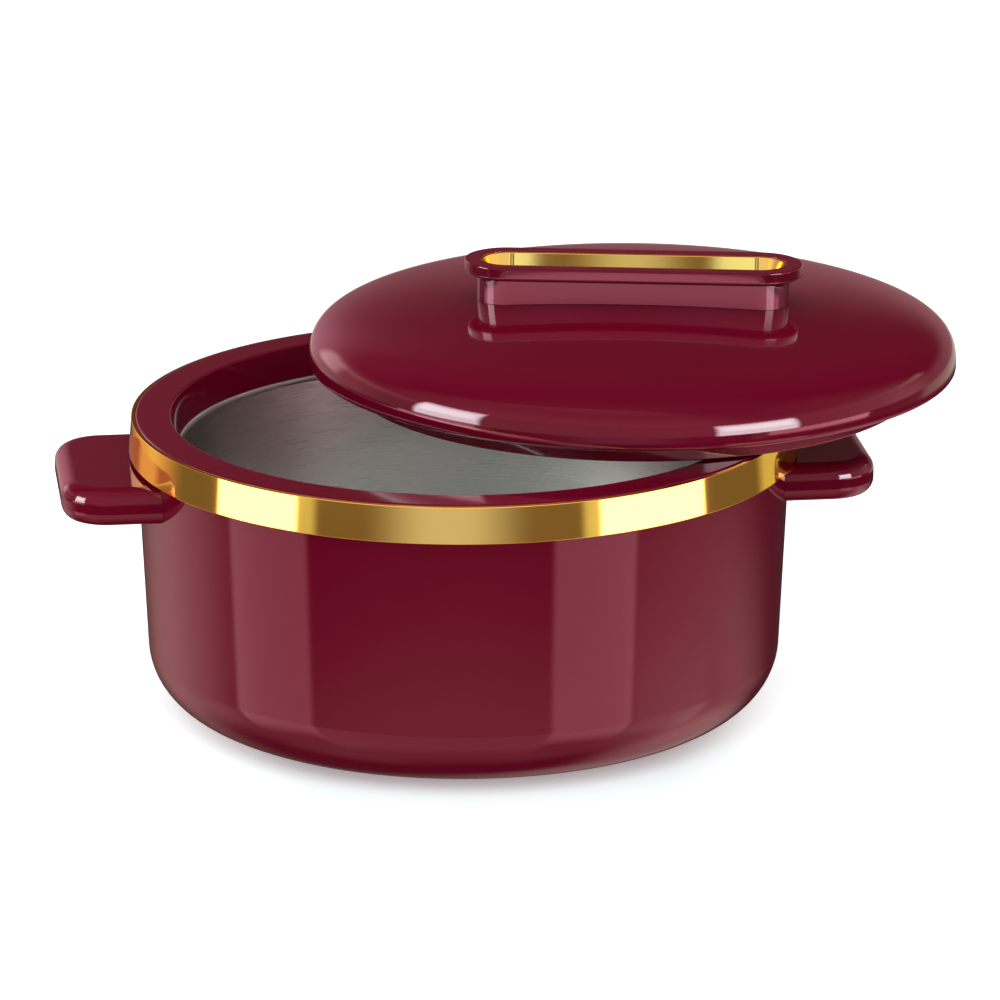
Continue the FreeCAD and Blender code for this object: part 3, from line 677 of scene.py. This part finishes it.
def dress(tree, shader, coordinates, colour, tone, marks, skin):
    """Give a shader its drifting tone, its handling marks and its faint skin."""
    tone = place_group(tree, TONE, coordinates, Color=(*colour, 1), **tone)
    marks = place_group(tree, MARKS, coordinates, **marks)
    skin = place_group(tree, SKIN, coordinates, **skin)
    tree.links.new(tone.outputs["Color"], shader.inputs["Base Color"])
    tree.links.new(marks.outputs["Roughness"], shader.inputs["Roughness"])
    tree.links.new(skin.outputs["Normal"], shader.inputs["Normal"])


def moulded_plastic(name, colour, rough, ripple):
    """Moulded plastic under a clear skin that loses its gloss at a slant."""
    material, tree, shader, coordinates = new_material(name, colour, IOR=1.49, Specular_Tint=(1, 0.45, 0.5, 1),
                                                       Coat_Roughness=0.0)
    slant = add(tree, "ShaderNodeLayerWeight").outputs["Facing"]
    tree.links.new(soft_range(tree, slant, COAT_WHOLE, COAT_GONE, 1.0, 0.0), shader.inputs["Coat Weight"])
    dress(tree, shader, coordinates, colour, {"Amount": 0.04, "Scale": 14.0},
          {"Base": rough, "Spread": 0.04, "Scale": 30.0}, {"Scale": 260.0, "Height": ripple})
    return material


def plated_gold(name, rough, ripple):
    """Gold plating on moulded plastic."""
    material, tree, shader, coordinates = new_material(name, PLATING, Metallic=1.0,
                                                       Specular_Tint=(1, 0.85, 0.5, 1))
    dress(tree, shader, coordinates, PLATING, {"Amount": 0.05, "Scale": 30.0},
          {"Base": rough, "Spread": rough / 2, "Scale": 60.0}, {"Scale": 350.0, "Height": ripple})
    return material


def lined_steel(name, colour, rough):
    """Stainless steel with fine lines round the pot's axis."""
    material, tree, shader, coordinates = new_material(name, colour, Metallic=1.0)
    tone = place_group(tree, TONE, coordinates, Color=(*colour, 1), Amount=0.06, Scale=25.0)
    lines = place_group(tree, LINES, coordinates, Scale=2200.0, Height=3.0e-7, Base=rough, Spread=0.05)
    tree.links.new(tone.outputs["Color"], shader.inputs["Base Color"])
    tree.links.new(lines.outputs["Roughness"], shader.inputs["Roughness"])
    tree.links.new(lines.outputs["Normal"], shader.inputs["Normal"])
    return material


def matte(name, colour, rough, scale, height):
    """Rubber or foam: dull, with a fine grain or open cells."""
    material, tree, shader, coordinates = new_material(name, colour)
    dress(tree, shader, coordinates, colour, {"Amount": 0.12, "Scale": scale / 4},
          {"Base": rough, "Spread": 0.1, "Scale": scale / 2}, {"Scale": scale, "Height": height})
    return material


# ---- studio ----
def camera():
    """Long lens, aimed a little right of and below the middle of the rim."""
    side = Vector((math.cos(CAMERA_AZIMUTH), math.sin(CAMERA_AZIMUTH), 0))
    level = Vector((math.sin(CAMERA_AZIMUTH), -math.cos(CAMERA_AZIMUTH), 0))
    back = level * math.cos(CAMERA_ELEVATION) + Vector((0, 0, math.sin(CAMERA_ELEVATION)))
    rim = Vector((0, 0, POT_H * MM))
    place = rim + back * CAMERA_DISTANCE
    aim = rim + side * AIM_RIGHT - back.cross(side) * AIM_DOWN
    made = bpy.data.cameras.new("camera")
    made.lens = CAMERA_LENS
    made.sensor_width = SENSOR_W
    made.clip_end = SIGHT
    holder = bpy.data.objects.new("camera", made)
    holder.location = place
    holder.rotation_euler = (aim - place).to_track_quat("-Z", "Y").to_euler()
    bpy.context.scene.collection.objects.link(holder)
    bpy.context.scene.camera = holder


def soft_panel_group():
    """Colour of one studio panel seen in a direction: its colour times a soft-edged window in azimuth, times a soft
    step up at its bottom, times a soft step down at its top, all in degrees."""
    group, given, out = new_group(
        "Soft Panel", [("Azimuth", FLOAT, 0.0), ("Elevation", FLOAT, 0.0), ("Middle", FLOAT, 0.0),
                       ("Half Width", FLOAT, 10.0), ("Side Edge", FLOAT, 2.0), ("Bottom", FLOAT, 0.0),
                       ("Bottom Edge", FLOAT, 2.0), ("Top", FLOAT, 10.0), ("Top Edge", FLOAT, 2.0),
                       ("Color", COLOUR, None)], [("Color", COLOUR), ("Share", FLOAT)])

    def soft_step(value, place, edge, first, last):
        """Soft step of a given width at a given place."""
        half = math_node(group, "MULTIPLY", given.outputs[edge], 0.5)
        start = math_node(group, "SUBTRACT", given.outputs[place], half)
        stop = math_node(group, "ADD", given.outputs[place], half)
        return soft_range(group, value, start, stop, first, last)

    height = given.outputs["Elevation"]
    off = math_node(group, "SUBTRACT", given.outputs["Azimuth"], given.outputs["Middle"])
    off = math_node(group, "ABSOLUTE", math_node(group, "WRAP", off, 180.0, -180.0))
    share = soft_step(off, "Half Width", "Side Edge", 1.0, 0.0)
    share = math_node(group, "MULTIPLY", share, soft_step(height, "Bottom", "Bottom Edge", 0.0, 1.0))
    share = math_node(group, "MULTIPLY", share, soft_step(height, "Top", "Top Edge", 1.0, 0.0))
    group.links.new(scaled(group, given.outputs["Color"], share), out.inputs["Color"])
    group.links.new(share, out.inputs["Share"])
    return group


# Studio panels as gloss sees them, in degrees from the camera's own direction, to the right, and above the
# horizon: left, right, side edge, bottom, its edge, top, its edge, colour. The room is warm, the boxes near white.
PANELS = [
    # a weak box at the back left
    (-147, -129, 8, 0, 8, 21, 8, (1.4, 1.25, 1.2)),
    # the room above the horizon
    (-168, -104, 24, -6.5, 2, 24, 18, (0.72, 0.38, 0.46)),
    (-165, -100, 40, -6.5, 2, 45, 40, (0.25, 0.06, 0.1)),
    (-104, 40, 30, -6.5, 2, 92, 2, (0.5, 0.42, 0.46)),
    (-75, 40, 50, -6.5, 2, 50, 40, (0.76, 0.44, 0.48)),
    (40, 116, 30, -6.5, 2, 24, 30, (1.3, 0.8, 0.9)),
    (50, 110, 40, 20, 30, 60, 30, (0.4, 0.3, 0.34)),
    (110, 184, 30, -6.5, 2, 12, 12, (0.38, 0.2, 0.22)),
    (-180, 180, 0.1, 72, 40, 95, 1, (0.2, 0.2, 0.22)),
    # just below the horizon, where the band looks: the boxes' lower ends between darker walls
    (-91, -58, 2, -12.8, 2, -7.2, 2, (6.5, 4.4, 4.6)),
    (47, 89, 2, -12.8, 2, -7.2, 2, (6.8, 4.7, 4.9)),
    (-58, -51, 4, -15, 2, -6.5, 2, (0.5, 0.52, 0.42)),
    (41, 47, 4, -15, 2, -6.5, 2, (0.57, 0.6, 0.5)),
    (-22, 12, 26, -15, 2, -6.5, 2, (0.46, 0.54, 0.9)),
    (-180, -119, 20, -15, 2, -6.5, 2, (0.58, 0.34, 0.3)),
    (-139, -129, 10, -15, 2, -6.5, 2, (0.1, 0.15, 0.2)),
    (122, 180, 8, -15, 2, -6.5, 2, (0.5, 0.5, 0.4)),
    (-180, 180, 0.1, -15, 2, -6.5, 2, (0.15, 0.115, 0.1)),
    # the floor: a broad glow and the boxes' images in it
    (-60, 33, 6, -52, 20, -23.8, 3.5, (0.74, 0.64, 0.66)),
    (-92, 60, 60, -75, 30, -23.8, 2.4, (0.8, 0.5, 0.44)),
    (-91, -57.5, 3, -35, 18, -20, 2, (2.3, 1.6, 1.75)),
    (32.5, 64, 3, -38, 20, -20, 2, (2.55, 2.05, 2.2)),
    (64, 102, 10, -40, 18, -22.4, 2.4, (1.12, 1.05, 1.1)),
    (64, 130, 50, -58, 24, -20, 3, (1.2, 0.72, 0.7)),
    (96, 176, 40, -66, 16, -34, 14, (0.75, 0.48, 0.46)),
    (-160, -92, 40, -44, 20, -16, 3, (0.42, 0.24, 0.2)),
    (-140, -92, 40, -36, 20, -16, 3, (0.82, 0.52, 0.56)),
]

# Two hot boxes, each with a brighter middle. The clear coat shows them, and second reflections a part of them.
BOXES = [
    (-83, -56, 3, -5, 4, 26, 8, (12.5, 11.0, 12.0)),
    (28, 58, 3, -7, 2, 19, 8, (13.5, 12.0, 13.0)),
    (-81, -58, 4, 5, 6, 20, 8, (4.5, 4.2, 4.5)),
    (30, 56, 4, 2, 6, 14, 8, (4.5, 4.2, 4.5)),
]
BOX_ECHO = 0.4

# Lights that only second reflections show: on the handle's front, by way of the dome, and in the bowl.
HANDLE_LIGHT = (-96, 78, 12, 5, 4, 14.5, 4, (6.2, 2.2, 3.0))
BOWL_LIGHT = (-180, 180, 0.1, 18, 8, 95, 1, (2.2, 2.6, 2.55))
DARK = (0.05, 0.03, 0.03)              # what gloss sees between the panels

# Cards above the camera that hide what is behind them: the handle's tray faces them.
CARDS = [
    (-128, -42, 6, 14.5, 3, 22, 3, (1.1, 1.0, 0.85)),
    (54, 128, 6, 14.5, 3, 22, 3, (1.1, 1.0, 0.85)),
    (-52, 64, 12, 14.5, 3, 22, 3, (0.9, 0.86, 0.95)),
    (-8, -3.2, 0.6, 16, 1.5, 23, 1.5, (1.0, 1.2, 1.7)),
    (-6.61, -4.8, 0.12, 16, 1.5, 23, 1.5, (0.2, 0.14, 0.12)),
    (-6.02, -5.26, 0.62, 16, 1.5, 23, 1.5, (0.65, 0.68, 0.9)),
]


def world():
    """White to the camera, an even light to everything dull, and the studio panels to gloss."""
    made = bpy.data.worlds.new("studio")
    made.use_nodes = True
    bpy.context.scene.world = made
    tree = made.node_tree
    turn = add(tree, "ShaderNodeMapping", vector_type="TEXTURE")
    turn.inputs["Rotation"].default_value = (0, 0, CAMERA_AZIMUTH)
    tree.links.new(add(tree, "ShaderNodeTexCoord").outputs["Generated"], turn.inputs[0])
    split = add(tree, "ShaderNodeSeparateXYZ")
    tree.links.new(turn.outputs[0], split.inputs[0])
    x, y, z = split.outputs
    toward = math_node(tree, "MULTIPLY", y, -1.0)
    azimuth = math_node(tree, "DEGREES", math_node(tree, "ARCTAN2", x, toward))
    elevation = math_node(tree, "DEGREES", math_node(tree, "ARCSINE", z))
    group = soft_panel_group()
    path = add(tree, "ShaderNodeLightPath")

    def plain_colour(colour):
        """A colour as a node's output."""
        node = add(tree, "ShaderNodeRGB")
        node.outputs[0].default_value = (*colour, 1)
        return node.outputs[0]

    def panel_of(row):
        """One panel's light, and how much of the direction it covers."""
        left, right, side_edge, bottom, bottom_edge, top, top_edge, colour = row
        panel = add(tree, "ShaderNodeGroup", node_tree=group)
        tree.links.new(azimuth, panel.inputs["Azimuth"])
        tree.links.new(elevation, panel.inputs["Elevation"])
        for label, value in (("Middle", (left + right) / 2), ("Half Width", (right - left) / 2),
                             ("Side Edge", side_edge), ("Bottom", bottom), ("Bottom Edge", bottom_edge),
                             ("Top", top), ("Top Edge", top_edge), ("Color", (*colour, 1))):
            panel.inputs[label].default_value = value
        return panel.outputs["Color"], panel.outputs["Share"]

    # A panel adds its light, a card hides what is behind it, and only the perfectly smooth coat sees the boxes.
    total = plain_colour(DARK)
    for row in PANELS:
        total = summed(tree, total, panel_of(row)[0])
    for row in CARDS:
        light, share = panel_of(row)
        total = summed(tree, scaled(tree, total, math_node(tree, "SUBTRACT", 1.0, share)), light)
    boxes = plain_colour((0, 0, 0))
    for row in BOXES:
        boxes = summed(tree, boxes, panel_of(row)[0])
    second = math_node(tree, "COMPARE", path.outputs["Glossy Depth"], 2.0, 0.5)
    total = summed(tree, total, scaled(tree, boxes, math_node(tree, "MULTIPLY", second, BOX_ECHO)))
    for row in (HANDLE_LIGHT, BOWL_LIGHT):
        total = summed(tree, total, scaled(tree, panel_of(row)[0], second))
    clear = path.outputs["Is Singular Ray"]
    total = summed(tree, scaled(tree, total, math_node(tree, "SUBTRACT", 1.0, clear)), scaled(tree, boxes, clear))
    panels = tree.nodes["Background"]
    panels.inputs["Strength"].default_value = 1.0
    tree.links.new(total, panels.inputs["Color"])
    plain = add(tree, "ShaderNodeBackground")
    plain.inputs["Color"].default_value = (1, 1, 1, 1)
    seen = math_node(tree, "MAXIMUM", path.outputs["Is Camera Ray"], path.outputs["Is Transmission Ray"])
    level = add(tree, "ShaderNodeMapRange")
    level.inputs["To Min"].default_value = AMBIENT
    tree.links.new(seen, level.inputs["Value"])
    tree.links.new(level.outputs["Result"], plain.inputs["Strength"])
    mix = add(tree, "ShaderNodeMixShader")
    tree.links.new(path.outputs["Is Glossy Ray"], mix.inputs[0])
    tree.links.new(plain.outputs[0], mix.inputs[1])
    tree.links.new(panels.outputs[0], mix.inputs[2])
    tree.links.new(mix.outputs[0], tree.nodes["World Output"].inputs["Surface"])


def overhead_lamp():
    """Square soft lamp that lights the dull part of the finish and leaves the gloss to the panels."""
    made = bpy.data.lights.new("overhead", "AREA")
    made.size = OVERHEAD_SIZE
    made.energy = OVERHEAD_POWER
    holder = bpy.data.objects.new("overhead", made)
    holder.location = OVERHEAD_PLACE
    holder.rotation_euler = (OVERHEAD_AIM - OVERHEAD_PLACE).to_track_quat("-Z", "Y").to_euler()
    holder.visible_glossy = False
    bpy.context.scene.collection.objects.link(holder)


def floor():
    """Pale floor: it glows a little for the camera only, so that it stays white round a tight soft shadow."""
    half = FLOOR_SIZE / 2
    mesh = bpy.data.meshes.new("floor")
    mesh.from_pydata([(-half, -half, 0), (half, -half, 0), (half, half, 0), (-half, half, 0)], [], [(0, 1, 2, 3)])
    material = bpy.data.materials.new("floor")
    material.use_nodes = True
    tree = material.node_tree
    shader = tree.nodes["Principled BSDF"]
    shader.inputs["Base Color"].default_value = (*FLOOR_COLOUR, 1)
    shader.inputs["Roughness"].default_value = 0.9
    shader.inputs["Specular IOR Level"].default_value = 0.0
    glow = add(tree, "ShaderNodeEmission")
    split = add(tree, "ShaderNodeSeparateXYZ")
    tree.links.new(add(tree, "ShaderNodeTexCoord").outputs["Object"], split.inputs[0])
    beside = math_node(tree, "ABSOLUTE", split.outputs[0])
    level = soft_range(tree, beside, GLOW_FROM, GLOW_TO, GLOW_AHEAD, GLOW_BESIDE)
    seen = add(tree, "ShaderNodeLightPath").outputs["Is Camera Ray"]
    tree.links.new(math_node(tree, "MULTIPLY", seen, level), glow.inputs["Strength"])
    both = add(tree, "ShaderNodeAddShader")
    tree.links.new(shader.outputs[0], both.inputs[0])
    tree.links.new(glow.outputs[0], both.inputs[1])
    tree.links.new(both.outputs[0], tree.nodes["Material Output"].inputs["Surface"])
    mesh.materials.append(material)
    made = bpy.data.objects.new("floor", mesh)
    made.location = (0, 0, -FLOOR_DROP)
    made.visible_glossy = False
    bpy.context.scene.collection.objects.link(made)


# ---- the scene ----
TONE, SKIN, MARKS, LINES = tone_drift_group(), mould_skin_group(), handling_group(), drawn_lines_group()
GLOSS = moulded_plastic("gloss_maroon", MAROON, 0.07, 1.0e-6)
SATIN = moulded_plastic("satin_maroon", MAROON, 0.22, 2.0e-6)
GOLD = plated_gold("plated_gold", 0.07, 1.0e-6)
TRAY_GOLD = plated_gold("tray_gold", 0.025, 3.0e-7)
STEEL = lined_steel("lined_steel", (0.78, 0.78, 0.745), 0.28)
SCREW = lined_steel("screw_steel", (0.7, 0.7, 0.7), 0.2)
RUBBER = matte("seal_rubber", (0.72, 0.71, 0.67), 0.6, 900.0, 4.0e-6)
FOAM = matte("cast_foam", (0.78, 0.66, 0.38), 0.9, 500.0, 6.0e-5)

outer_body()
rim_collar()
gold_band()
inner_bowl()
lug("right_grip", "right_lug", 1)
lug("left_grip", "left_lug", -1)
lid_shell()
lid_inner_panel()
lid_handle()
handle_inlay()

KEPT = {"base_plate": GLOSS, "bowl_seal": RUBBER, "body_insulation": FOAM, "lug_screws": SCREW,
        "lid_fill_plug": SATIN, "lid_insulation": FOAM, "lid_handle_screws": SCREW}
for name, material in KEPT.items():
    mesh = frame["nodes"][name].data
    mesh.materials.clear()
    mesh.materials.append(material)

camera()
world()
floor()
overhead_lamp()
bpy.context.scene.view_settings.view_transform = "Standard"
